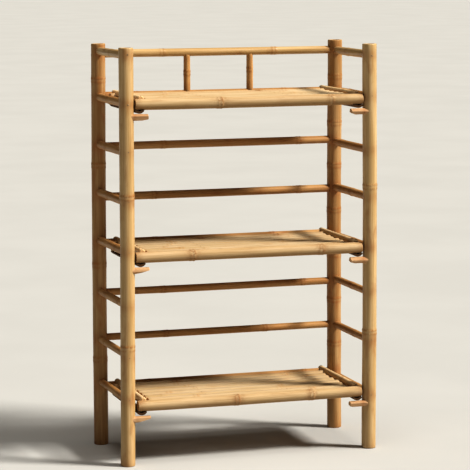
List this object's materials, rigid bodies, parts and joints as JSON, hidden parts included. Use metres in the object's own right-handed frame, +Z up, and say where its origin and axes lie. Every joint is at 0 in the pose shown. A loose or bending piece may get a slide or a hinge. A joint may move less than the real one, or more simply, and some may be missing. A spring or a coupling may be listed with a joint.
{
  "type": "plant stand",
  "caption": "Bamboo plant stand: four cane posts with ladder sides and a railed back carry slatted lift-off shelves on pegs, for potted plants.",
  "frame": {"origin": "On the floor, at the middle of the footprint of the four posts", "axes": "+Z up, -Y the open front of the stand, +X to the right seen from the front"},
  "size_m": [0.6532, 0.286, 1],
  "materials": {
    "bamboo_post": "satin",
    "bamboo_cane": "satin",
    "bamboo_peg": "matte",
    "bamboo_shelf_cane": "satin",
    "bamboo_split": "satin",
    "nail_steel": "satin"
  },
  "bodies": {
    "frame": {"post_front_left": "bamboo_post", "post_front_right": "bamboo_post", "post_rear_left": "bamboo_post", "post_rear_right": "bamboo_post", "left_rung_1": "bamboo_cane", "left_rung_2": "bamboo_cane", "left_rung_3": "bamboo_cane", "left_rung_4": "bamboo_cane", "left_rung_5": "bamboo_cane", "left_rung_6": "bamboo_cane", "left_rung_7": "bamboo_cane", "left_rung_8": "bamboo_cane", "right_rung_1": "bamboo_cane", "right_rung_2": "bamboo_cane", "right_rung_3": "bamboo_cane", "right_rung_4": "bamboo_cane", "right_rung_5": "bamboo_cane", "right_rung_6": "bamboo_cane", "right_rung_7": "bamboo_cane", "right_rung_8": "bamboo_cane", "back_rail_1": "bamboo_cane", "back_rail_2": "bamboo_cane", "back_rail_3": "bamboo_cane", "back_rail_4": "bamboo_cane", "back_rail_5": "bamboo_cane", "back_rail_6": "bamboo_cane", "back_rail_7": "bamboo_cane", "back_rail_8": "bamboo_cane", "back_spindle_left": "bamboo_cane", "back_spindle_right": "bamboo_cane", "bottom_shelf_pegs": "bamboo_peg", "middle_shelf_pegs": "bamboo_peg", "top_shelf_pegs": "bamboo_peg", "rung_nails": "nail_steel", "rail_nails": "nail_steel"},
    "bottom_shelf": {"bottom_front_rail": "bamboo_shelf_cane", "bottom_rear_rail": "bamboo_shelf_cane", "bottom_end_rod_left": "bamboo_shelf_cane", "bottom_end_rod_right": "bamboo_shelf_cane", "bottom_slats": "bamboo_split", "bottom_bearers": "bamboo_shelf_cane", "bottom_end_battens": "bamboo_split", "bottom_nails": "nail_steel"},
    "middle_shelf": {"middle_front_rail": "bamboo_shelf_cane", "middle_rear_rail": "bamboo_shelf_cane", "middle_end_rod_left": "bamboo_shelf_cane", "middle_end_rod_right": "bamboo_shelf_cane", "middle_slats": "bamboo_split", "middle_bearers": "bamboo_shelf_cane", "middle_end_battens": "bamboo_split", "middle_nails": "nail_steel"},
    "top_shelf": {"top_front_rail": "bamboo_shelf_cane", "top_rear_rail": "bamboo_shelf_cane", "top_end_rod_left": "bamboo_shelf_cane", "top_end_rod_right": "bamboo_shelf_cane", "top_slats": "bamboo_split", "top_bearers": "bamboo_shelf_cane", "top_end_battens": "bamboo_split", "top_nails": "nail_steel"}
  },
  "joints": [
    {"name": "bottom_shelf_lift", "type": "slide", "parent": "frame", "child": "bottom_shelf", "axis": [0, 0, 1], "range_m": [0, 0.06]},
    {"name": "middle_shelf_lift", "type": "slide", "parent": "frame", "child": "middle_shelf", "axis": [0, 0, 1], "range_m": [0, 0.06]},
    {"name": "top_shelf_lift", "type": "slide", "parent": "frame", "child": "top_shelf", "axis": [0, 0, 1], "range_m": [0, 0.06]}
  ]
}
